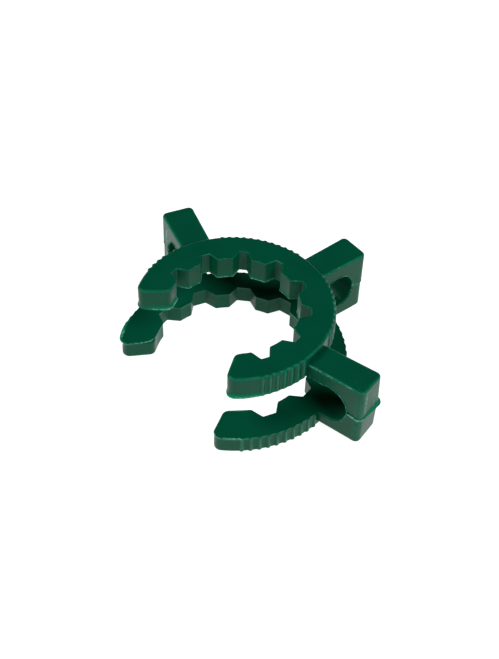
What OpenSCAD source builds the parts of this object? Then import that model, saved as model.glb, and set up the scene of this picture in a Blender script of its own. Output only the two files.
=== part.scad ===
// Ground glass joint clip: one moulding that is pushed sideways over an assembled
// conical joint and holds the socket's rim against the cone.
// Frame: Z is the joint's axis, Z = 0 is the underside of the lower jaw, and the
// mouth of both jaws opens towards -Y. Millimetres.

/* [Jaws] */
// Diameter across the tooth faces of the upper jaw, which grips the cone's tube
upper_jaw_d = 24.0; // [18:0.5:30]
// Diameter across the tooth faces of the lower jaw, which grips the socket's tube
lower_jaw_d = 29.9; // [22:0.1:38]
// Depth of the notches between the teeth
tooth_depth = 2.03; // [1.2:0.01:2.6]
// Wall left between a notch floor and the outer wall of the upper jaw
upper_band = 4.17; // [3:0.01:5]
// Wall left between a notch floor and the outer wall of the lower jaw
lower_band = 4.17; // [3:0.01:5]
// Thickness of the upper jaw
upper_t = 4.6; // [3:0.1:7]
// Thickness of the lower jaw
lower_t = 3.75; // [2.5:0.05:6]
// Height of the gap that takes the socket's rim
gap_h = 7.65; // [5:0.05:12]

/* [Teeth] */
// Teeth between the two arm tips
tooth_count = 7; // [5:2:9]
// Angle from one tooth to the next
tooth_pitch = 30; // [20:1:36]
// Half angle of an upper tooth face
upper_face_half = 6.7; // [4:0.1:8]
// Half angle of a lower tooth face
lower_face_half = 5.0; // [4:0.1:8]
// Half angle of an upper notch floor
upper_floor_half = 3.2; // [2:0.1:5]
// Half angle of a lower notch floor
lower_floor_half = 4.3; // [2:0.1:5]

/* [Arm tips] */
// Angle from the mirror plane to the end face of an upper arm
upper_tip_angle = 130.7; // [120:0.1:140]
// Angle from the mirror plane to the end face of a lower arm
lower_tip_angle = 137.2; // [125:0.1:145]
// Slant of the end faces away from the radial direction
tip_slant = 13; // [0:1:25]
// Plan radius of a tip's inner corner
tip_inner_r = 1.2; // [0.6:0.1:1.6]
// Plan radius of a tip's outer corner
tip_outer_r = 1.4; // [0.8:0.1:2]

/* [Legs] */
// Angle from the rear leg to each side leg
leg_spread = 74; // [60:1:90]
// Width of a leg at its outer end
leg_w = 6.3; // [4:0.05:8]
// How much narrower a leg is where it leaves the jaws
leg_taper = 0.45; // [0:0.05:1.2]
// How far a leg stands out beyond the lower jaw
leg_reach = 8.5; // [6:0.05:12]
// Wall outside the rounded end of a leg's window
leg_end_wall = 3.1; // [2:0.1:5]
// Step from the top of the upper jaw down to a leg
leg_top_step = 1.65; // [0.5:0.05:2.5]
// Step from the underside of the lower jaw up to a leg
leg_under_step = 1.3; // [0.3:0.05:1.8]
// Plan radius of a leg's outer corners
leg_corner_r = 1.0; // [0.5:0.1:1.5]
// Set-in of a leg's lower half, below the parting line
parting_set = 0.2; // [0:0.02:0.3]

/* [Ribs] */
// Angle from one grip rib to the next
rib_pitch = 4.4; // [3.5:0.1:6]
// Height of a grip rib above the outer wall
rib_h = 0.25; // [0.1:0.01:0.5]
// Radius of a grip rib's rounded crest
rib_r = 0.32; // [0.25:0.01:0.9]
// First and last rib between the rear leg and a side leg
inner_ribs = [11.1, 60.0]; // [10:0.1:64]
// First rib in front of a side leg, on the upper jaw
upper_front_rib = 85.7; // [84:0.1:95]
// First rib in front of a side leg, on the lower jaw
lower_front_rib = 83.9; // [83:0.1:95]
// Last rib towards an upper arm tip
upper_last_rib = 112.2; // [100:0.1:115]
// Last rib towards a lower arm tip
lower_last_rib = 123.5; // [110:0.1:126]

/* [Edges] */
// Radius of the outer edges
edge_r = 0.45; // [0.2:0.05:0.8]
// Flare at the outer mouth of the upper teeth and of all notches
lip = 0.3; // [0.1:0.05:0.5]

/* [Hidden] */
$fn = 96;
eps = 0.02;
edge_fn = 20;
post_fn = 12;
upper_face_r = upper_jaw_d / 2;
lower_face_r = lower_jaw_d / 2;
upper_floor_r = upper_face_r + tooth_depth;
lower_floor_r = lower_face_r + tooth_depth;
upper_outer_r = upper_floor_r + upper_band;
lower_outer_r = lower_floor_r + lower_band;
upper_z = lower_t + gap_h;
total_h = upper_z + upper_t;
leg_r = lower_outer_r + leg_reach;
leg_root_r = min(upper_outer_r, lower_outer_r) - 0.7;
leg_z0 = leg_under_step;
leg_z1 = total_h - leg_top_step;
window_r = gap_h / 2;
window_z = lower_t + window_r;
window_x = leg_r - leg_end_wall - window_r;
parting_z = window_z - 0.3;
leg_root_w = leg_w - leg_taper;
taper_angle = atan(leg_taper / 2 / (leg_r - leg_root_r));
green = [0.02, 0.30, 0.19];

// Turns its children about Z to an angle a from the rear leg
module at(a) rotate([0, 0, 90 + a]) children();

// Outer-wall section of a jaw, square where it faces the gap, round outside
module band_section(r_in, r_out, t, up) {
    z_round = up ? t - edge_r : edge_r;
    translate([r_in, 0]) square([r_out - r_in - edge_r, t]);
    translate([r_in, up ? 0 : edge_r]) square([r_out - r_in, t - edge_r]);
    translate([r_out - edge_r, z_round]) circle(r = edge_r, $fn = edge_fn);
}

// A disc with one rounded edge, used inside the tip hulls
module tip_disc(r, t, up)
    rotate_extrude($fn = edge_fn) intersection() {
        band_section(0, r, t, up);
        square([r, t]);
    }

// Wedge in front of the arms, from angle a round to the other side
module mouth_wedge(a, r, t)
    translate([0, 0, -1]) linear_extrude(t + 2)
        polygon([[0, 0], for (s = [-a, -a - (180 - a) / 2, 180, a + (180 - a) / 2, a])
            r * [cos(90 + s), sin(90 + s)]]);

// Half-round grip ribs from angle a0 to a1 and their mirror images
module ribs(r_out, t, up, a0, a1) {
    n = floor((a1 - a0) / rib_pitch + 0.01);
    intersection() {
        rotate_extrude() band_section(r_out - 1, r_out + rib_h, t, up);
        union() for (i = [0:n], side = [-1, 1])
            at(side * (a0 + i * rib_pitch)) translate([r_out + rib_h - rib_r, 0, 0])
                cylinder(r = rib_r, h = t, $fn = edge_fn);
    }
}

// Angle of a tip corner's centre: rc its radius, cr the corner's own radius
function corner_angle(tip, rm, rc, cr) =
    tip + tip_slant - asin((rm * sin(tip_slant) + cr) / rc);

// Rounded end of one arm, side = -1 or 1
module arm_tip(side, face_r, outer_r, t, up, tip) {
    rm = (face_r + outer_r) / 2;
    ri = face_r + tip_inner_r;
    ro = outer_r - tip_outer_r;
    ai = corner_angle(tip, rm, ri, tip_inner_r);
    ao = corner_angle(tip, rm, ro, tip_outer_r);
    hull() {
        at(side * ai) translate([ri, 0, 0]) tip_disc(tip_inner_r, t, up);
        at(side * ao) translate([ro, 0, 0]) tip_disc(tip_outer_r, t, up);
        at(side * (ai - 5)) translate([ri, 0, 0]) tip_disc(tip_inner_r, t, up);
        at(side * (ao - 6)) translate([ro, 0, 0]) tip_disc(tip_outer_r, t, up);
    }
}

// Cutter for one notch, flared at the outer face
module notch(face_r, floor_r, face_half, floor_half, t, up) {
    open_half = tooth_pitch / 2 - face_half;
    fx = floor_r * cos(floor_half);
    fy = floor_r * sin(floor_half);
    gx = face_r * cos(open_half);
    gy = face_r * sin(open_half);
    dx = (gx - fx) * 0.4;
    dy = (gy - fy) * 0.4;
    cx = (fx + gx + dx) / 2;
    hx = fx - cx;
    flat = [[fx - cx, fy], [gx + dx - cx, gy + dy], [gx + dx - cx, -gy - dy], [fx - cx, -fy]];
    translate([cx, 0, -1]) linear_extrude(t + 2) polygon(flat);
    translate([cx, 0, up ? t - lip : lip]) mirror([0, 0, up ? 0 : 1])
        linear_extrude(lip + eps, scale = [(hx + lip) / hx, (fy + lip) / fy], slices = 1,
            segments = 4, $fn = 0) polygon(flat);
}

// Round cutter for the tooth faces; the upper jaw's is flared at its top
module jaw_bore(face_r, t, up) {
    translate([0, 0, -1]) cylinder(r = face_r, h = t + 2);
    if (up) translate([0, 0, t]) rotate_extrude() difference() {
        translate([0, -lip]) square([face_r + lip, 2 * lip]);
        translate([face_r + lip, -lip]) circle(r = lip, $fn = edge_fn);
    }
}

// One C-shaped jaw: band, arm tips, ribs, teeth
module jaw(face_r, floor_r, outer_r, t, up, face_half, floor_half, tip, front_rib, last_rib) {
    cut = tip - 11;
    difference() {
        union() {
            difference() {
                rotate_extrude() band_section(face_r - 1, outer_r, t, up);
                mouth_wedge(cut, outer_r + 2, t);
            }
            for (side = [-1, 1]) arm_tip(side, face_r, outer_r, t, up, tip);
            ribs(outer_r, t, up, inner_ribs[0], inner_ribs[1]);
            ribs(outer_r, t, up, front_rib, last_rib);
        }
        jaw_bore(face_r, t, up);
        for (i = [0:tooth_count])
            at((i - tooth_count / 2) * tooth_pitch)
                notch(face_r, floor_r, face_half, floor_half, t, up);
    }
}

// Upright post of radius r and height h with rounded ends
module round_post(r, h)
    rotate_extrude($fn = post_fn) intersection() {
        union() {
            translate([0, edge_r]) square([r, h - 2 * edge_r]);
            square([r - edge_r + eps, h]);
            for (z = [edge_r, h - edge_r]) translate([r - edge_r, z]) circle(r = edge_r, $fn = post_fn);
        }
        square([r, h]);
    }

// One bridging leg with its rounded window
module leg(a) at(a) difference() {
    hull() for (side = [-1, 1]) {
        translate([leg_r - leg_corner_r, side * (leg_w / 2 - leg_corner_r), leg_z0])
            round_post(leg_corner_r, leg_z1 - leg_z0);
        translate([leg_root_r + edge_r, side * (leg_root_w / 2 - edge_r), leg_z0])
            round_post(edge_r, leg_z1 - leg_z0);
    }
    translate([window_x, 0, window_z]) rotate([90, 0, 0])
        cylinder(r = window_r, h = leg_w + 2, center = true);
    translate([leg_root_r - 1, -leg_w / 2 - 1, lower_t])
        cube([window_x - leg_root_r + 1, leg_w + 2, gap_h]);
    leg_set_in();
}

// Cutter that sets a leg's lower half in, below the parting line
module leg_set_in() {
    for (m = [0, 1]) mirror([0, m, 0])
        translate([leg_r, leg_w / 2, -1]) rotate([0, 0, taper_angle])
            translate([-3 * leg_reach, -parting_set, 0])
                cube([4 * leg_reach, 2, parting_z + 1]);
    translate([leg_r - parting_set, -leg_w, -1]) cube([2, 2 * leg_w, parting_z + 1]);
}

// Whole moulding
module clip() color(green) {
    jaw(lower_face_r, lower_floor_r, lower_outer_r, lower_t, false,
        lower_face_half, lower_floor_half, lower_tip_angle, lower_front_rib, lower_last_rib);
    translate([0, 0, upper_z])
        jaw(upper_face_r, upper_floor_r, upper_outer_r, upper_t, true,
            upper_face_half, upper_floor_half, upper_tip_angle, upper_front_rib, upper_last_rib);
    for (a = [-leg_spread, 0, leg_spread]) leg(a);
}

clip();
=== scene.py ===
import math
from types import SimpleNamespace

import bmesh
import bpy
import numpy as np
from mathutils import Matrix, Vector, noise


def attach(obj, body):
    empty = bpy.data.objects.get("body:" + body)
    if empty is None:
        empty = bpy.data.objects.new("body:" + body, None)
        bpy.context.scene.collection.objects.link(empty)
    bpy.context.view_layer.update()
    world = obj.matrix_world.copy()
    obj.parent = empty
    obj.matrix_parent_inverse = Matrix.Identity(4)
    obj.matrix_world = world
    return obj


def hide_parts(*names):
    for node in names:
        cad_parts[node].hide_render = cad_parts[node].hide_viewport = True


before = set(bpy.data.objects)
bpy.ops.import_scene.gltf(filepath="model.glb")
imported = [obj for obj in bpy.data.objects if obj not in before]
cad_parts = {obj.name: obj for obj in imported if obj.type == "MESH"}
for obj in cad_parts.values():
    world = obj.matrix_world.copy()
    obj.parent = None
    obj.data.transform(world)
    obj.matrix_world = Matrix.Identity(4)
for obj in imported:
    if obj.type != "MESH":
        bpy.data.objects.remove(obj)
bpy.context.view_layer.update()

# The clip is one green moulding on a pale floor. It is drawn in mm, as two jaws and three legs that
# are then joined, and scaled to metres at the end.

# ------------------------------------------------------------- sizes, mm and degrees
# Plan angles run from the rear leg, + towards the left arm.
# face: radius of the tooth circle. t: thickness. band: wall behind the notch floors.
# face_half, floor_half: half angles of a tooth's face and of a notch's floor. tip: angle of an arm's end.
# front_rib, last_rib: first and last rib in front of a side leg.
UPPER = dict(face=12.0, t=4.6, band=4.17, face_half=6.7, floor_half=3.2, tip=130.7,
             front_rib=85.7, last_rib=112.2)
LOWER = dict(face=14.95, t=3.75, band=4.17, face_half=5.0, floor_half=4.3, tip=137.2,
             front_rib=83.9, last_rib=123.5)
TOOTH_DEPTH = 2.03
GAP = 7.65                      # between the jaws
NOTCHES = (105, 75, 45, 15)     # middles of the notches of one half, from the arm to the rear
NOTCH_PITCH = 30.0
FACE_CORNER = 0.45              # radius between a tooth's face and its flank
FLOOR_CORNER = 0.30             # radius between a flank and a notch floor
SLANT = 13.0                    # turn of an arm's end face from the radius
TIP_IN, TIP_OUT = 1.2, 1.4      # corner radii of an arm's end
WALL_STEP = 0.42                # between points of the outer wall
FACE_STEP = 0.40                # between points of a tooth's face
FLANK_STEP = 0.45               # between points of a tooth's flank

RIB_PITCH, RIB_H, RIB_W = 4.4, 0.30, 0.46
REAR_RIBS = (11.1, 60.0)        # first and last rib between the rear leg and a side leg

EDGE, LIP = 0.45, 0.22          # edge radii of the outer walls and of the teeth

SPREAD = 74.0                   # side legs' angle
LEG_W = 6.3                     # at the outer end
TAPER = 0.45                    # less than that at the jaws
LEG_REACH = 8.5                 # beyond the lower jaw
LEG_CORNER = 1.0                # radius of the upright corners
LEG_EDGE = 0.40                 # radius of the top and bottom edges
END_WALL = 3.1                  # behind the window
# noise seed, angle and extra reach of the rear, right and left legs
LEGS = {"rear": (0, 0.0, -0.2), "right": (1, -SPREAD, 0.05), "left": (2, SPREAD + 0.4, 0.2)}

LOWER_R = LOWER["face"] + TOOTH_DEPTH + LOWER["band"]
UPPER_R = UPPER["face"] + TOOTH_DEPTH + UPPER["band"]
UPPER_Z = LOWER["t"] + GAP
TOP_Z = UPPER_Z + UPPER["t"]
LEG_R = LOWER_R + LEG_REACH
LEG_Z = (1.3, TOP_Z - 1.65)
ROOT_R = UPPER_R - 0.7          # inner end of the legs, inside both walls
WIN_R = GAP / 2
WIN_Z = LOWER["t"] + WIN_R
WIN_X = LEG_R - END_WALL - WIN_R
PART_Z = WIN_Z - 0.3            # parting line of the right leg

# Flash at the gap edges: wall, how far it stands out, middle angle, half width
UPPER_FLASH = (("outside", 0.36, -123, 13), ("bore", 0.34, 124, 9), ("outside", 0.16, 126, 9))
LOWER_FLASH = (("outside", 0.50, 130, 9), ("bore", 0.34, -124, 7),
               ("bore", 0.12, 124, 8), ("outside", 0.10, -128, 9))
# Whitish wear and painted highlight at the lower jaw's gap edge: wall, strength, middle angle, half width
LOWER_WEAR_AND_HIGHLIGHT = (("outside", 1.0, -126.5, 4.5), ("outside", 0.8, 131, 5), ("outside", 0.7, -137, 2),
              ("bore", 0.4, 127, 5), ("everywhere", 0.35, -133, 3))
# Painted highlight from the start to the end of a rounded edge
JAW_EDGE_HIGHLIGHT = (0.35, 0.75, 1.0, 1.0, 0.85, 0.5, 0.2)
LEG_FOOT_HIGHLIGHT = (0.2, 0.5, 0.6, 0.6, 0.4, 0.2)
LEG_TOP_HIGHLIGHT = (0.35, 0.8, 1.0, 1.0, 0.7, 0.3)
LEG_TOP_WEAR_AND_HIGHLIGHT = (0, 0.5, 1, 1, 0.5, 0)
# Raised lip of a window: out from the side face, out past the window's edge
LIP_PROFILE = ((-0.2, 0.10), (0.012, 0.16), (0.03, 0.155), (0.065, 0.12))
# Flare of a window at a side face: depth below the face, share of the flare, painted highlight
FLARE_PROFILE = ((-1.2, 1.2, 0), (0.0, 1.0, 0.7), (0.06, 0.66, 1.0), (0.14, 0.34, 0.9),
                 (0.24, 0.10, 0.5), (0.36, 0.0, 0.0))


# --------------------------------------------------------------------- small helpers
def pol(r, a):
    """Point at radius r and angle a in degrees."""
    return np.array([r * math.cos(math.radians(a)), r * math.sin(math.radians(a))])


def wobble(points, scale, seed):
    """Smooth repeatable noise, about -1 to 1, at each point."""
    return np.array([noise.noise(Vector((p[0] * scale + seed * 7.3, p[1] * scale - seed * 3.1, seed * 1.7)))
                     for p in points])


def bump(x, centre, width):
    """Bell curve, 1 at its centre."""
    return np.exp(-((np.asarray(x, float) - centre) / width) ** 2)


def share(x):
    """x kept between 0 and 1."""
    return np.clip(x, 0, 1)


def quarter_turn(count):
    """Angles of a rounded edge's points, from 0 to 90 degrees, in radians."""
    return [math.radians(90 * k / (count - 1)) for k in range(count)]


def normals2d(p):
    """Outward normals of a closed counter-clockwise outline, lengthened at its corners."""
    e = np.roll(p, -1, 0) - p
    e /= np.linalg.norm(e, axis=1)[:, None]
    n = np.stack([e[:, 1], -e[:, 0]], 1)
    m = n + np.roll(n, 1, 0)
    m /= np.linalg.norm(m, axis=1)[:, None]
    return m / np.clip((m * n).sum(1), 0.5, 1)[:, None]


def smooth_ring(v, passes):
    """Values round a closed outline, blurred."""
    for _ in range(passes):
        v = (np.roll(v, 1) + 2 * v + np.roll(v, -1)) / 4
    return v


def stack(name, rings, marks, flip=False):
    """Closed mesh from rings of 3-D points that run counter-clockwise seen from the last ring's side, or
    clockwise with flip. marks: each ring's painted glow of the flash, painted highlight at an edge, and
    whitish wear with painted highlight."""
    n = len(rings[0])
    verts = np.concatenate(rings)
    faces = []
    for k in range(len(rings) - 1):
        a, b = k * n, (k + 1) * n
        for i in range(n):
            nxt = (i + 1) % n
            faces.append((a + i, a + nxt, b + nxt, b + i))
    faces.append(tuple(range(n - 1, -1, -1)))
    faces.append(tuple((len(rings) - 1) * n + i for i in range(n)))
    if flip:
        faces = [tuple(reversed(f)) for f in faces]
    mesh = bpy.data.meshes.new(name)
    mesh.from_pydata([tuple(v) for v in verts], [], faces)
    for c, label in enumerate(("thin_glow", "edge", "wear_and_highlight")):
        values = np.concatenate([np.ones(n) * m[c] for m in marks])
        attribute = mesh.attributes.new(label, "FLOAT", "POINT")
        attribute.data.foreach_set("value", share(values).astype(np.float32))
    ob = bpy.data.objects.new(name, mesh)
    bpy.context.scene.collection.objects.link(ob)
    return ob


def boolean(ob, other, operation):
    """Joins other to ob or cuts it from ob, and removes other."""
    mod = ob.modifiers.new("boolean", "BOOLEAN")
    mod.operation, mod.object, mod.solver = operation, other, "MANIFOLD"
    graph = bpy.context.evaluated_depsgraph_get()
    result = bpy.data.meshes.new_from_object(ob.evaluated_get(graph))
    ob.modifiers.remove(mod)
    old, other_mesh = ob.data, other.data
    ob.data = result
    bpy.data.objects.remove(other)
    bpy.data.meshes.remove(old)
    bpy.data.meshes.remove(other_mesh)
    return ob


# ------------------------------------------------------------- jaw outline in plan
def outer_r(j):
    """Radius of a jaw's outer wall."""
    return j["face"] + TOOTH_DEPTH + j["band"]


def rib_angles(j):
    """Ribs of one half of a jaw, behind and in front of the side leg."""
    beyond = 0.1                                    # so that arange takes the last rib too
    rear = np.arange(REAR_RIBS[0], REAR_RIBS[1] + beyond, RIB_PITCH)
    front = np.arange(j["front_rib"], j["last_rib"] + beyond, RIB_PITCH)
    return [*rear, *front]


def outer_angles(j, end):
    """Angles of the outer wall's points from the rear to end, close together across the ribs."""
    ro, ribs = outer_r(j), rib_angles(j)
    half = math.degrees(RIB_W / ro)
    plain = np.round(np.arange(0.0, end, math.degrees(WALL_STEP / ro)), 4)
    angles = {a for a in plain if all(abs(a - r) > half * 1.6 for r in ribs)}
    for r in ribs:
        angles |= {round(r + half * k, 4) for k in np.linspace(-1.1, 1.1, 13)}
    return sorted(angles)


def tooth_line(j, start):
    """Teeth and notches of one half, from the arm's inner corner to the rear, as points with the
    radius of the corner there."""
    rf, rn = j["face"], j["face"] + TOOTH_DEPTH
    mouth_half, floor_half = NOTCH_PITCH / 2 - j["face_half"], j["floor_half"]
    line = [(pol(rf, start), 0)]
    for notch in NOTCHES:
        count = max(3, int(math.radians(start - notch - mouth_half) * rf / FACE_STEP))
        line += [(pol(rf, a), 0) for a in np.linspace(start, notch + mouth_half, count)[1:-1]]
        line += [(pol(rf, notch + mouth_half), FACE_CORNER), (pol(rn, notch + floor_half), FLOOR_CORNER),
                 (pol(rn, notch - floor_half), FLOOR_CORNER), (pol(rf, notch - mouth_half), FACE_CORNER)]
        start = notch - mouth_half
    return line + [(pol(rf, a), 0) for a in np.linspace(start, 0, 5)[1:]]


def rounded(line):
    """Points along such a line after its first, with arcs at its corners and a few on long flanks."""
    pts = []
    for (before, _), (p, radius), (after, next_radius) in zip(line, line[1:], line[2:]):
        if radius == 0:
            pts.append(p)
            continue
        d0, d1 = before - p, after - p
        l0, l1 = np.linalg.norm(d0), np.linalg.norm(d1)
        d0 /= l0
        d1 /= l1
        half = math.acos(np.clip(np.dot(d0, d1), -1, 1)) / 2
        cut = min(radius / math.tan(half), 0.45 * l0, 0.45 * l1)
        r = cut * math.tan(half)
        middle = d0 + d1
        centre = p + middle / np.linalg.norm(middle) * (r / math.sin(half))
        first, last = p + d0 * cut - centre, p + d1 * cut - centre
        a0 = math.atan2(first[1], first[0])
        turn = (math.atan2(last[1], last[0]) - a0 + math.pi) % (2 * math.pi) - math.pi
        pts += [centre + pol(r, math.degrees(a0 + turn * k)) for k in np.linspace(0, 1, 6)]
        flank = l1 - cut - (cut if next_radius else 0)
        if flank > 0.7:
            steps = np.linspace(0, 1, int(flank / FLANK_STEP) + 2)[1:-1]
            pts += [p + d1 * (cut + flank * k) for k in steps]
    return pts + [line[-1][0]]


def half_outline(j):
    """Half of a jaw's outline, from the rear of its outer wall round an arm's end to the rear tooth,
    as points (x along the rear axis) with tags."""
    rf, ro = j["face"], outer_r(j)
    middle_r = (rf + ro) / 2

    def corner_angle(centre_r, corner_r):
        lever = (middle_r * math.sin(math.radians(SLANT)) + corner_r) / centre_r
        return j["tip"] + SLANT - math.degrees(math.asin(lever))

    in_a, out_a = corner_angle(rf + TIP_IN, TIP_IN), corner_angle(ro - TIP_OUT, TIP_OUT)
    in_c, out_c = pol(rf + TIP_IN, in_a), pol(ro - TIP_OUT, out_a)
    facing = j["tip"] + 90 + SLANT                  # the way the end face looks
    end0, end1 = out_c + pol(TIP_OUT, facing), in_c + pol(TIP_IN, facing)
    return ([(pol(ro, a), "outer") for a in outer_angles(j, out_a)]
            + [(out_c + pol(TIP_OUT, a), "outer_corner") for a in np.linspace(out_a, facing, 13)]
            + [(end0 + (end1 - end0) * k, "end") for k in np.linspace(0, 1, 8)[1:-1]]
            + [(in_c + pol(TIP_IN, a), "inner_corner") for a in np.linspace(facing, in_a + 180, 9)]
            + [(p, "inner") for p in rounded(tooth_line(j, in_a))])


def full_outline(j):
    """A jaw's whole outline, counter-clockwise: the half and its mirror image."""
    half = half_outline(j)
    mirrored = [(np.array([p[0], -p[1]]), t) for p, t in reversed(half)]
    pts, tags = [], []
    for p, t in half + mirrored:
        if pts and np.linalg.norm(pts[-1] - p) < 1e-4:
            continue
        pts.append(p)
        tags.append(t)
    if np.linalg.norm(pts[0] - pts[-1]) < 1e-4:
        pts.pop()
        tags.pop()
    return np.array(pts), np.array(tags)


def shorten_right_arm(p):
    """Turns the end of the lower jaw's right arm back a little."""
    ang = np.degrees(np.arctan2(p[:, 1], p[:, 0]))
    k = np.radians(0.7 * share((-ang - 122) / 13))
    return np.stack([p[:, 0] * np.cos(k) - p[:, 1] * np.sin(k), p[:, 0] * np.sin(k) + p[:, 1] * np.cos(k)], 1)


# -------------------------------------------------------------------------- jaws
def jaw_wall(j, upper):
    """A jaw's outline, and what its flash, edges and wear depend on."""
    p, tags = full_outline(j)
    if not upper:
        p = shorten_right_arm(p)
    r = np.hypot(p[:, 0], p[:, 1])
    return SimpleNamespace(
        p=p, r=r, ang=np.degrees(np.arctan2(p[:, 1], p[:, 0])),
        outer=tags == "outer", inner=tags == "inner", end=tags == "end", inner_corner=tags == "inner_corner",
        outside=r > outer_r(j) - 0.9, bore=r < j["face"] + 1.4, everywhere=np.ones(len(p)),
        slow=wobble(p, 0.5, 3 if upper else 5), fine=wobble(p, 1.7, 8 if upper else 9))


def spots(w, rows):
    """Sum of bumps along a wall."""
    return sum(getattr(w, wall) * size * bump(w.ang, middle, width) for wall, size, middle, width in rows)


def rib_heights(w, j):
    """How far the grip ribs stand out of the outer wall."""
    rib = np.zeros(len(w.p))
    for c in rib_angles(j):
        x = np.radians(np.abs(np.abs(w.ang) - c)) * outer_r(j) / RIB_W
        rib = np.maximum(rib, np.where((x < 1) & w.outer, RIB_H * share(1 - x ** 2) ** 1.3, 0))
    return rib


def jaw_flash(w, j, upper):
    """How far the flash at the gap edge stands out."""
    f = 0.035 + 0.03 * w.slow + 0.03 * w.fine
    f += spots(w, UPPER_FLASH if upper else LOWER_FLASH)
    if upper:
        f += np.where(w.end, 0.20 + 0.06 * w.fine, 0) + 0.05 * w.inner
    for c in (-SPREAD, 0, SPREAD):                  # none where a leg meets the wall
        f = np.where((np.abs(w.ang - c) < 11) & (w.r > j["face"] + TOOTH_DEPTH), 0.0, f)
    f = np.clip(smooth_ring(f, 10), 0.0, 0.6)
    if not upper:                                   # the left arm's inner corner is worn back
        f -= smooth_ring(0.42 * w.inner_corner * (w.ang > 0), 3)
    return f


def jaw_wear_and_highlight(w, flash, left_end, upper):
    """Whitish wear and painted highlight at the gap edge and at the far edge."""
    if upper:
        gap = np.where(w.outside | w.end | w.bore, 0.8 * share(flash / 0.2), 0) + 0.35 * w.inner
        far = np.where(w.inner, 0.42 + 0.2 * w.fine, 0.0)
    else:
        in_front_of_leg = np.abs(np.abs(w.ang) - 104) < 18
        gap = spots(w, LOWER_WEAR_AND_HIGHLIGHT) + 0.75 * left_end + 0.25 * w.outside * in_front_of_leg
        far = np.zeros(len(w.p))
    return smooth_ring(gap, 2), smooth_ring(far, 1)


def jaw(name, j, upper):
    """A C-shaped plate with teeth inside and ribs outside, built from its gap face to its far face."""
    w, t = jaw_wall(j, upper), j["t"]
    n = normals2d(w.p)
    rib = rib_heights(w, j)
    crest = (rib / RIB_H) ** 1.8
    edge = smooth_ring(np.where(w.inner, LIP, EDGE), 10)
    edge = np.where(w.inner, np.minimum(edge, LIP + 0.01), edge) * (1 + 0.05 * w.fine)
    rest = smooth_ring(np.where(w.inner, 0.05, 0.13), 3)
    f = jaw_flash(w, j, upper)
    # glow: painted glow of light shining through the thin flash
    g, glow = share(f / 0.4), share(f / 0.28)
    cap = np.maximum(0.06, 0.04 - f)
    left_end = np.zeros(len(w.p)) if upper else smooth_ring(1.0 * ((w.end | w.inner_corner) & (w.ang > 0)), 3)

    # height from the gap face, inset, share of the ribs, painted glow of the thin flash, painted edge
    # highlight
    levels = [(0.0, cap + 0.04 + rest, 0.0, 0.0, 0.0),
              (0.0, cap, 0.2, 0.35 * glow, 0.7 * left_end),
              (0.0, -f, 0.3, glow, 0.25 + 0.6 * left_end),
              (0.07, -f * 0.95, 0.5, glow, 0.25 + 0.6 * left_end),
              (0.2, 0.03 * g - f * 0.45, 0.8, 0.85 * glow, 0.0),
              (0.42, 0.10 * g, 1.0, 0.45 * glow, 0.0),
              (0.8, 0.15 * g, 1.0, 0.05 * glow, 0.0),
              (t * 0.55, 0.02 * g, 1.0, 0.0, 0.0),
              (t - edge * 1.25, 0.0, 1.0, 0.0, 0.0)]
    # painted highlight round the far rounded edge
    for th, light in zip(quarter_turn(len(JAW_EDGE_HIGHLIGHT)), JAW_EDGE_HIGHLIGHT):
        sunk, set_in = edge * (1 - math.sin(th)), edge * (1 - math.cos(th))
        levels.append((t - sunk, set_in, 1 - th / math.pi, 0.0, light))
    levels.append((t, edge + rest, 0.2, 0.0, 0.0))

    # the painted edge highlight is weaker round the teeth
    soft = smooth_ring(np.where(w.inner, 0.75, 1.0), 6) * (0.85 + 0.25 * w.fine)
    gap_wear_and_highlight, far_wear_and_highlight = jaw_wear_and_highlight(w, f, left_end, upper)
    rings, marks = [], []
    for height, inset, rib_share, thin_glow, light in levels:
        q = w.p + n * (rib * rib_share - inset)[:, None]
        h = np.ones(len(w.p)) * height
        z = UPPER_Z + h if upper else LOWER["t"] - h
        rings.append(np.stack([-q[:, 1], q[:, 0], z], 1))   # the rear axis is +Y
        mean_h = float(h.mean())
        # painted highlight along the crests of the ribs
        rib_crest_highlight = 0.95 * crest * (0.3 < mean_h < t - 0.2)
        # whitish wear and painted highlight near the gap edge and the far edge
        wear_and_highlight = gap_wear_and_highlight * max(0.0, 1 - abs(mean_h - 0.05) / 0.26) * (np.mean(inset) < 0.09)
        wear_and_highlight = wear_and_highlight + far_wear_and_highlight * max(0.0, 1 - abs(t - 0.09 - mean_h) / 0.12)
        marks.append((thin_glow, np.maximum(light * soft, rib_crest_highlight), wear_and_highlight))
    return stack(name, rings, marks, flip=not upper)


# -------------------------------------------------------------------------- legs
# A leg is drawn with u outwards, v across and z up. cw and ccw are its two side faces, clockwise and
# counter-clockwise seen from above.
def leg_outline(half_width, end_r):
    """Points (u, v) and tags of a leg's outline, counter-clockwise."""
    w = LEG_W / 2
    tilt = math.degrees(math.atan(TAPER / 2 / (end_r - ROOT_R)))
    side_u = np.linspace(ROOT_R, end_r - LEG_CORNER, 15)
    root = half_width(ROOT_R)
    centre = np.array([end_r - LEG_CORNER, w - LEG_CORNER])
    rows = ([((u, -half_width(u)), "cw") for u in side_u[:-1]]
            + [(centre * (1, -1) + pol(LEG_CORNER, a), "cw_corner") for a in np.linspace(-90 - tilt, 0, 11)]
            + [((end_r, v), "end") for v in np.linspace(LEG_CORNER - w, w - LEG_CORNER, 9)[1:-1]]
            + [(centre + pol(LEG_CORNER, a), "ccw_corner") for a in np.linspace(0, 90 + tilt, 11)]
            + [((u, half_width(u)), "ccw") for u in side_u[::-1][1:]]
            + [((ROOT_R, v), "root") for v in np.linspace(root, -root, 5)[1:-1]])
    return np.array([tuple(p) for p, _ in rows]), np.array([t for _, t in rows])


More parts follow.
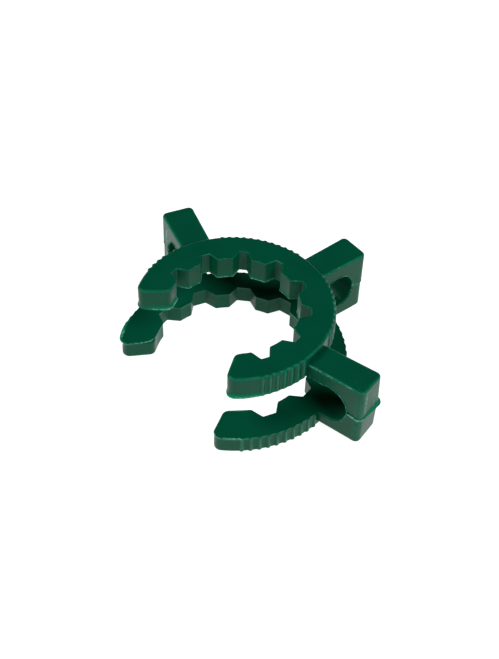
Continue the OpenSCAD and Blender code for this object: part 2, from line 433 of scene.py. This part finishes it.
def leg_wall(half_width, end_r, seed):
    """A leg's outline, and what its flash, edges and wear depend on."""
    p, tags = leg_outline(half_width, end_r)
    u, v = p[:, 0], p[:, 1]
    end = np.isin(tags, ["cw_corner", "end", "ccw_corner"])
    ccw = tags == "ccw"
    across = np.where(end, v / LEG_W + 0.5, 1.0 * ccw)       # 0 at the cw side, 1 at the ccw side
    return SimpleNamespace(p=p, u=u, v=v, end=end, cw=tags == "cw", ccw=ccw, cw_corner=tags == "cw_corner",
                           across=across, rough=wobble(p, 0.7, seed), one=np.ones(len(p)))


def right_leg_skin(w, end_r):
    """The right leg has the widest flash, on a ledge along its parting line."""
    toward_cw = np.where(w.cw, 1.0, np.where(w.end, share(1 - w.across / 0.5), 0.0))
    flash = np.where(w.end, 0.03 + 0.52 * share(w.across) ** 0.9, 0)
    part_z = PART_Z + 0.45 * share((end_r - w.u) / 4) * w.cw
    part_z += 0.12 * (bump(w.across, 1, 0.4) - 1) * w.end
    return SimpleNamespace(
        flash=np.where(w.ccw, 0.50 * bump(w.u, end_r, 2.2) + 0.04, flash),
        part_z=part_z,
        below=np.where(w.cw, -0.04, np.where(w.end, -0.04 + 0.16 * w.across, 0.12)),
        above=np.where(w.end, 0.05 + 0.19 * (1 - w.across), np.where(w.cw, 0.22, 0.03)),
        draft=0.24 * w.across * w.end + 0.24 * w.ccw * bump(w.u, end_r, 3.5),
        # whitish wear and painted highlight along the parting ledge, stronger toward the cw side
        wear_and_highlight=(0.25 + 0.80 * toward_cw) * (0.85 + 0.25 * w.rough),
        # whitish wear and painted highlight on the top edge and the top face
        top_wear_and_highlight=np.where(w.cw, 0.55, np.where(w.end, 0.45, 0.15)),
        face_wear_and_highlight=0.17 * w.end + 0.07 * w.cw_corner,
        # painted sheen: pale specks across the end face and pale streaks down it
        scuff_and_sheen=0.18 * w.end,
        sheen_streak=(0.30 * bump(w.v, -1.7, 0.45) + 0.24 * bump(w.v, 0.9, 0.45)) * w.end)


def plain_leg_skin(w, end_r, scuffed):
    """The rear and left legs have little flash; the left one is scuffed beside its window."""
    return SimpleNamespace(
        flash=np.where(w.end, 0.05 + 0.05 * w.rough, 0.03),
        part_z=PART_Z + 0.15 + 0.05 * w.rough,
        below=np.where(w.end, 0.12, 0.0),
        above=np.where(w.cw, 0.05, 0.02),
        draft=0 * w.one,
        # whitish wear and painted highlight along the parting line and the top edge
        wear_and_highlight=np.where(w.cw, 0.8, 0.4) * (0.75 + 0.3 * w.rough),
        top_wear_and_highlight=np.where(w.cw, 0.4, np.where(w.end, 0.45, 0.15)),
        face_wear_and_highlight=0.0,
        scuff_and_sheen=0.62 * bump(w.u, end_r - 2.8, 0.9) * w.ccw * scuffed,
        sheen_streak=0 * w.one)


def leg_levels(w, s):
    """Rings of a leg from its foot to its top: height, inset, painted glow of the flash, painted edge
    highlight, whitish wear with painted highlight.
    """
    z0, z1 = LEG_Z
    er = LEG_EDGE
    # glow: painted glow of light shining through the thin flash
    f, glow = s.flash, share(s.flash / 0.25)
    levels = [(z0, s.below + er + 0.14, 0, 0, 0)]
    for th, light in zip(quarter_turn(len(LEG_FOOT_HIGHLIGHT)), LEG_FOOT_HIGHLIGHT):
        levels.append((z0 + er * (1 - math.cos(th)), s.below + er * (1 - math.sin(th)), 0, light, 0))
    levels += [(z0 + er * 1.6, s.below, 0, 0, 0),
               (s.part_z - 0.30, s.below, 0, 0, 0),
               # whitish wear and painted highlight along the parting ledge
               (s.part_z - 0.20, s.below, 0, 0.3, 0.8 * s.wear_and_highlight),
               (s.part_z - 0.10, s.below, 0.3 * glow, 0.5, s.wear_and_highlight),
               (s.part_z - 0.03, s.below * 0.5 - 0.3 * f, 0.8 * glow, 0.6, s.wear_and_highlight),
               (s.part_z + 0.01, s.above * 0.4 - f, glow, 0.5, 0.9 * s.wear_and_highlight),
               (s.part_z + 0.06, s.above - f * 0.95, glow, 0.4, 0.5 * s.wear_and_highlight),
               (s.part_z + 0.15, s.above - 0.3 * f, 0.9 * glow, 0.25, 0),
               (s.part_z + 0.36, s.above * 0.8, 0.35 * glow, 0.1, 0),
               (s.part_z + 0.75, s.above * 0.25, 0, 0, 0),
               (z1 - 2.5, 0.01, 0, 0, 0),
               (z1 - er * 1.5, 0.0, 0, 0, 0)]
    top_wear_and_highlight = s.top_wear_and_highlight * (0.8 + 0.35 * w.rough)
    # painted highlight, and whitish wear with painted highlight, round the top edge
    for th, light, wear_and_highlight in zip(quarter_turn(len(LEG_TOP_HIGHLIGHT)), LEG_TOP_HIGHLIGHT, LEG_TOP_WEAR_AND_HIGHLIGHT):
        levels.append((z1 - er * (1 - math.sin(th)), er * (1 - math.cos(th)), 0, light, top_wear_and_highlight * wear_and_highlight))
    levels.append((z1, er + 0.14, 0, 0, s.face_wear_and_highlight))
    return levels


def window_outline():
    """Outline (u, z) of a leg's window: an arch lying outwards, open to the gap."""
    inner, r = ROOT_R - 2, WIN_R + 0.01
    along = np.linspace(inner, WIN_X, 16)
    rows = [(u, WIN_Z - r) for u in along[:-1]]
    rows += [tuple(np.array([WIN_X, WIN_Z]) + pol(r, a)) for a in np.linspace(-90, 90, 41)]
    rows += [(u, WIN_Z + r) for u in along[::-1][1:]]
    return np.array(rows)


def window_cutter(name, half_width, place, flare, fine):
    """The window's space, flared at both side faces."""
    o = window_outline()
    n = normals2d(o)
    rings, marks = [], []
    for side in (-1, 1):
        for depth, grow, light in FLARE_PROFILE[::-side]:
            q = o + n * (flare * grow)[:, None]
            rings.append(place(q[:, 0], side * (half_width(q[:, 0]) - depth), q[:, 1]))
            # painted highlight round the flare's rim, with whitish wear and painted highlight where it is
            # strongest
            wear_and_highlight = 0.75 * light ** 2 * (o[:, 1] > WIN_Z - 2) * (0.7 + 0.6 * fine)
            marks.append((0.0, light * (0.75 + 0.5 * fine), wear_and_highlight))
    return stack(name, rings, marks, flip=True)


def window_lips(name, half_width, place, flare, rough, fine):
    """A slim raised lip round the window on each side face, clear of the cutter's inner end, with a painted
    highlight along its crest.
    """
    o = window_outline()
    n = normals2d(o)
    squeeze = (WIN_X - ROOT_R - 0.3) / (WIN_X - ROOT_R + 2)
    o[:, 0] = np.where(o[:, 0] < WIN_X, WIN_X + (o[:, 0] - WIN_X) * squeeze, o[:, 0])
    lips = []
    for side in (-1, 1):
        rings, marks = [], []
        for height, grow in LIP_PROFILE[::-side]:
            q = o + n * ((flare + grow) * (1 + 0.35 * fine))[:, None]
            rings.append(place(q[:, 0], side * (half_width(q[:, 0]) + height), q[:, 1]))
            # painted highlight on the proud rings, whitish wear and painted highlight above the lower jaw
            proud = height > 0.02
            wear_and_highlight = 0.62 * proud * (0.8 + 0.5 * rough) * share((o[:, 1] - LOWER["t"]) / 1.5)
            marks.append((0.0, 1.0 * proud, wear_and_highlight))
        lips.append(stack(name, rings, marks))
    return lips


def leg(side):
    """A block leg that ties the jaws together, with its window."""
    seed, angle, extra = LEGS[side]
    end_r = LEG_R + extra
    slope = TAPER / 2 / (end_r - ROOT_R)
    turn = math.radians(90 + angle)

    def half_width(u):
        return LEG_W / 2 - slope * (end_r - u)

    def place(u, v, z):
        c, s = math.cos(turn), math.sin(turn)
        return np.stack([u * c - v * s, u * s + v * c, z], 1)

    w = leg_wall(half_width, end_r, seed)
    s = right_leg_skin(w, end_r) if side == "right" else plain_leg_skin(w, end_r, side == "left")
    s.flash = np.clip(smooth_ring(s.flash, 2), 0, 0.7)
    s.part_z, s.below, s.above, s.draft = [smooth_ring(v, 2) for v in (s.part_z, s.below, s.above, s.draft)]
    corner = 0.45 * bump(w.v, 0.3 - LEG_W / 2, 0.35) * (w.u > end_r - 1.2)      # painted sheen down an upright corner

    z0, z1 = LEG_Z
    part = float(s.part_z.mean())
    n = normals2d(w.p)
    rings, marks = [], []
    for height, inset, thin_glow, light, wear_and_highlight in leg_levels(w, s):
        z = w.one * height
        mean_z = z.mean()
        drafted = share(1 - abs(z - part) / (z1 - part if mean_z > part else part - z0))
        q = w.p - n * (inset - s.draft * drafted)[:, None]
        rings.append(place(q[:, 0], q[:, 1], z))
        # painted sheen streaks and specks on the end and side faces
        worn_and_sheen = s.sheen_streak * (part + 0.3 < mean_z < z1 - 0.3) + s.scuff_and_sheen * (z0 + 0.3 < mean_z < z1 - 1.0)
        light = np.maximum(light, corner * (z0 + 0.3 < mean_z < z1 - 0.3))
        marks.append((thin_glow, light, np.maximum(wear_and_highlight, worn_and_sheen)))
    body = stack(side + "_leg", rings, marks)

    o = window_outline()
    rough, fine = wobble(o, 0.8, seed + 20), wobble(o, 2.2, seed + 30)
    flare = np.where(o[:, 0] < LOWER_R + 0.2, 0.0, 0.22 + 0.05 * rough + 0.05 * fine)
    flare = np.clip(smooth_ring(flare, 2), 0, 0.34)
    cutter = window_cutter(side + "_window", half_width, place, flare, fine)
    for lip in window_lips(side + "_lip", half_width, place, flare, rough, fine):
        boolean(body, lip, "UNION")
    return boolean(body, cutter, "DIFFERENCE")


# ------------------------------------------------------------------ the moulding
def moulding():
    """Both jaws and the three legs in one mesh, in metres."""
    ob = jaw("upper_jaw", UPPER, True)
    parts = [jaw("lower_jaw", LOWER, False)] + [leg(side) for side in LEGS]
    for part in parts:
        boolean(ob, part, "UNION")
    mesh = ob.data
    ob.name = mesh.name = "clip_moulding"
    bm = bmesh.new()
    bm.from_mesh(mesh)
    bmesh.ops.remove_doubles(bm, verts=bm.verts, dist=1e-5)
    bmesh.ops.recalc_face_normals(bm, faces=bm.faces)
    bm.to_mesh(mesh)
    bm.free()
    mesh.transform(Matrix.Scale(0.001, 4))
    mesh.polygons.foreach_set("use_smooth", [True] * len(mesh.polygons))
    mesh.update()
    mesh.set_sharp_from_angle(angle=math.radians(42))
    weighted = ob.modifiers.new("weighted_normals", "WEIGHTED_NORMAL")
    weighted.keep_sharp, weighted.weight, weighted.mode = True, 50, "FACE_AREA"
    return ob


# --------------------------------------------------------------------- materials
class Shader:
    """A material's nodes. A node's input takes a number, a colour or another node's output."""

    def __init__(self, name):
        self.material = bpy.data.materials.new(name)
        self.material.use_nodes = True
        self.tree = self.material.node_tree
        self.tree.nodes.clear()
        self.position = self.node("TexCoord", {}).outputs["Object"]

    def node(self, kind, inputs, **settings):
        made = self.tree.nodes.new("ShaderNode" + kind)
        for key, value in settings.items():
            setattr(made, key, value)
        for key, value in inputs.items():
            if isinstance(value, bpy.types.NodeSocket):
                self.tree.links.new(value, made.inputs[key])
            else:
                made.inputs[key].default_value = value
        return made

    def attribute(self, name):
        return self.node("Attribute", {}, attribute_name=name).outputs["Fac"]

    def noise_texture(self, scale, detail):
        inputs = {"Vector": self.position, "Scale": scale, "Detail": detail}
        return self.node("TexNoise", inputs).outputs["Fac"]

    def remap(self, value, from_min, from_max, to_min, to_max):
        inputs = {"Value": value, "From Min": from_min, "From Max": from_max,
                  "To Min": to_min, "To Max": to_max}
        return self.node("MapRange", inputs).outputs["Result"]

    def blend(self, factor, a, b):
        return self.node("Mix", {"Factor": factor, "A": a, "B": b}, data_type="RGBA").outputs["Result"]

    def maths(self, operation, *values, clamp=False):
        return self.node("Math", dict(enumerate(values)), operation=operation, use_clamp=clamp).outputs[0]

    def bump_map(self, height, strength, distance, normal=None):
        inputs = {"Height": height, "Strength": strength, "Distance": distance}
        if normal:
            inputs["Normal"] = normal
        return self.node("Bump", inputs).outputs["Normal"]


def plastic():
    """Satin green plastic with painted light: a painted highlight along its edges, a painted glow of light
    through slim flash, and whitish wear with painted highlight.
    """
    s = Shader("green_plastic")
    cloud = s.noise_texture(160, 3)
    ramp = s.node("ValToRGB", {"Fac": cloud})
    dark, light = ramp.color_ramp.elements
    dark.position, dark.color = 0.3, (0.0001, 0.066, 0.0330, 1)
    light.position, light.color = 0.7, (0.0002, 0.074, 0.0370, 1)
    patchy = s.remap(s.noise_texture(420, 3), 0.32, 0.62, 0.45, 1.0)
    # painted highlight along edges: a lighter, stronger green where the edge mark is set
    edge = s.maths("MULTIPLY", s.attribute("edge"), patchy)
    colour = s.blend(edge, ramp.outputs["Color"], (0.0030, 0.150, 0.082, 1))
    # painted glow of light through thin flash: a brighter green where the flash is thin
    colour = s.blend(s.attribute("thin_glow"), colour, (0.0035, 0.225, 0.105, 1))

    # whitish wear and painted highlight: scattered specks where the mark is small, a full line where it is
    # near 1
    wear_and_highlight = s.attribute("wear_and_highlight")
    over = s.maths("SUBTRACT", s.noise_texture(1900, 2), s.maths("MULTIPLY_ADD", wear_and_highlight, -0.55, 0.74))
    specks = s.maths("MULTIPLY", over, 9.0, clamp=True)
    worn_and_sheen = s.maths("MULTIPLY", specks, s.maths("MULTIPLY_ADD", wear_and_highlight, 1.5, 0.0, clamp=True))
    colour = s.blend(s.maths("MULTIPLY", worn_and_sheen, 0.85), colour, (0.105, 0.370, 0.270, 1))

    waves = s.bump_map(s.noise_texture(110, 1), 0.2, 0.0002)
    grain = s.bump_map(s.noise_texture(900, 4), 0.15, 0.00003, waves)
    skin = s.node("BsdfPrincipled", {
        "Base Color": colour, "Roughness": s.remap(cloud, 0.3, 0.7, 0.28, 0.36), "IOR": 1.48,
        "Specular IOR Level": 0.11, "Normal": grain})
    s.node("OutputMaterial", {"Surface": skin.outputs[0]})
    return s.material


def floor_material():
    """Pale and matt, with a glow of its own so that it stays near white."""
    material = bpy.data.materials.new("floor")
    material.use_nodes = True
    inputs = material.node_tree.nodes["Principled BSDF"].inputs
    inputs["Base Color"].default_value = (0.4, 0.4, 0.4, 1)
    inputs["Roughness"].default_value = 0.9
    inputs["Specular IOR Level"].default_value = 0.1
    inputs["Emission Color"].default_value = (1, 1, 1, 1)
    inputs["Emission Strength"].default_value = 0.95
    return material


# ----------------------------------------------------- floor, sky, lights, camera
def add_floor():
    bpy.ops.mesh.primitive_plane_add(size=1.6, location=(0, 0, 0))
    floor = bpy.context.object
    floor.name = "floor"
    floor.data.materials.append(floor_material())
    return floor


def add_sky(strength):
    world = bpy.data.worlds.new("world")
    bpy.context.scene.world = world
    world.use_nodes = True
    inputs = world.node_tree.nodes["Background"].inputs
    inputs["Color"].default_value = (1, 1, 1, 1)
    inputs["Strength"].default_value = strength


def add_soft_box(name, location, side, power):
    """A square lamp that looks at the clip."""
    data = bpy.data.lights.new(name, "AREA")
    data.shape, data.size, data.energy = "SQUARE", side, power
    lamp = bpy.data.objects.new(name, data)
    bpy.context.scene.collection.objects.link(lamp)
    lamp.location = location
    lamp.rotation_euler = (-Vector(location)).to_track_quat("-Z", "Y").to_euler()


def add_camera(azimuth, elevation, roll, distance, across, upward, lens):
    """Looks along the line from azimuth and elevation, moved across and upward in its own plane."""
    az, el, ro = map(math.radians, (azimuth, elevation, roll))
    back = Vector((math.cos(el) * math.cos(az), math.cos(el) * math.sin(az), math.sin(el)))
    level = (-back).cross(Vector((0, 0, 1))).normalized()
    upright = level.cross(-back)
    right = level * math.cos(ro) + upright * math.sin(ro)
    up = upright * math.cos(ro) - level * math.sin(ro)
    data = bpy.data.cameras.new("cam")
    data.sensor_fit, data.sensor_width, data.lens = "AUTO", 36, lens
    data.clip_start, data.clip_end = 0.01, 10
    camera = bpy.data.objects.new("cam", data)
    bpy.context.scene.collection.objects.link(camera)
    place = (back * distance + right * across + up * upward) * 0.001
    camera.matrix_world = Matrix.Translation(place) @ Matrix((right, up, back)).transposed().to_4x4()
    bpy.context.scene.camera = camera


clip = moulding()
clip.data.materials.clear()
clip.data.materials.append(plastic())
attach(clip, "root")
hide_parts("clip")

floor = add_floor()
add_sky(0.02)
# one soft box on each side of the camera's line of sight
add_soft_box("soft_left", (-0.26, -0.36, 0.60), 0.35, 2.9)
add_soft_box("soft_right", (0.48, 0.09, 0.55), 0.35, 3.3)
add_camera(azimuth=-39.87, elevation=46.17, roll=2.23, distance=241.7, across=3.18, upward=6.50,
           lens=69.771)
bpy.context.scene.view_settings.view_transform = "Standard"
